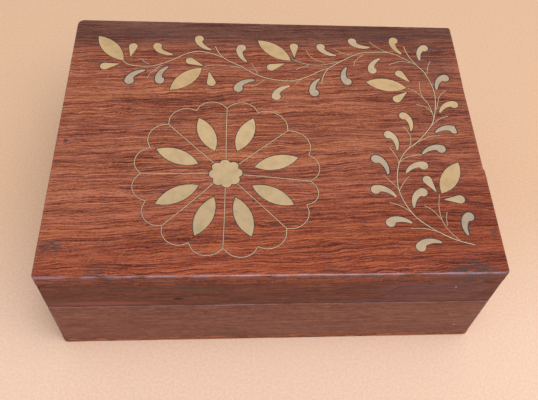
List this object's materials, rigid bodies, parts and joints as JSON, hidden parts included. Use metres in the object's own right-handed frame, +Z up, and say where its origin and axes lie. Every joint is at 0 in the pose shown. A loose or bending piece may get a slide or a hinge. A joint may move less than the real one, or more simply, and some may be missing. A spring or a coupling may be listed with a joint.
{
  "type": "wooden puzzle box",
  "caption": "Low rectangular rosewood box with a hinged lid, flush brass flower and vine inlay, a sliding front panel over a hidden lock, and a key hidden in the wall.",
  "frame": {"origin": "centre of the underside, on the plane that the box stands on", "axes": "+X along the length to the box's right, -Y towards the front, +Z up"},
  "size_m": [0.203, 0.152, 0.07],
  "materials": {
    "wood_top": "satin varnish",
    "wood_side": "satin varnish",
    "brass_inlay": "satin, sanded flush",
    "brass_hardware": "satin",
    "steel": "brushed",
    "felt": "napped felt"
  },
  "bodies": {
    "base": {"bottom_board": "wood_side", "base_front_wall": "wood_side", "base_back_wall": "wood_side", "base_left_wall": "wood_side", "base_right_wall": "wood_side", "base_lining": "felt", "panel_stop_pin": "brass_hardware", "lock_case": "brass_hardware", "lock_pin": "steel", "bolt_spring": "steel", "lock_screw_1": "brass_hardware", "lock_screw_2": "brass_hardware", "hinge_left_base_leaf": "brass_hardware", "hinge_left_pin": "brass_hardware", "hinge_right_base_leaf": "brass_hardware", "hinge_right_pin": "brass_hardware", "hinge_screw_1": "brass_hardware", "hinge_screw_2": "brass_hardware", "hinge_screw_5": "brass_hardware", "hinge_screw_6": "brass_hardware"},
    "lid": {"lid_top_board": "wood_top", "lid_front_rail": "wood_side", "lid_back_rail": "wood_side", "lid_left_rail": "wood_side", "lid_right_rail": "wood_side", "lid_lining": "felt", "strike_plate": "brass_hardware", "strike_screw_1": "brass_hardware", "strike_screw_2": "brass_hardware", "hinge_left_lid_leaf": "brass_hardware", "hinge_right_lid_leaf": "brass_hardware", "hinge_screw_3": "brass_hardware", "hinge_screw_4": "brass_hardware", "hinge_screw_7": "brass_hardware", "hinge_screw_8": "brass_hardware", "flower_centre": "brass_inlay", "petal_1": "brass_inlay", "petal_2": "brass_inlay", "petal_3": "brass_inlay", "petal_4": "brass_inlay", "petal_5": "brass_inlay", "petal_6": "brass_inlay", "petal_7": "brass_inlay", "petal_8": "brass_inlay", "leaf_1": "brass_inlay", "leaf_2": "brass_inlay", "leaf_3": "brass_inlay", "leaf_4": "brass_inlay", "leaf_5": "brass_inlay"},
    "panel": {"front_panel": "wood_side"},
    "key": {"key_plug": "wood_side", "key_shank": "steel"},
    "bolt": {"lock_bolt": "brass_hardware"}
  },
  "joints": [
    {"name": "lid_hinge", "type": "hinge", "parent": "base", "child": "lid", "pos_m": [0, 0.073, 0.04125], "axis": [-1, 0, 0], "range_deg": [0, 98]},
    {"name": "panel_slide", "type": "slide", "parent": "base", "child": "panel", "axis": [-1, 0, 0], "range_m": [0, 0.06]},
    {"name": "key_slide", "type": "slide", "parent": "base", "child": "key", "axis": [-1, 0, 0], "range_m": [0, 0.048]},
    {"name": "bolt_slide", "type": "slide", "parent": "base", "child": "bolt", "axis": [0, 0, 1], "range_m": [0, 0.005]}
  ]
}
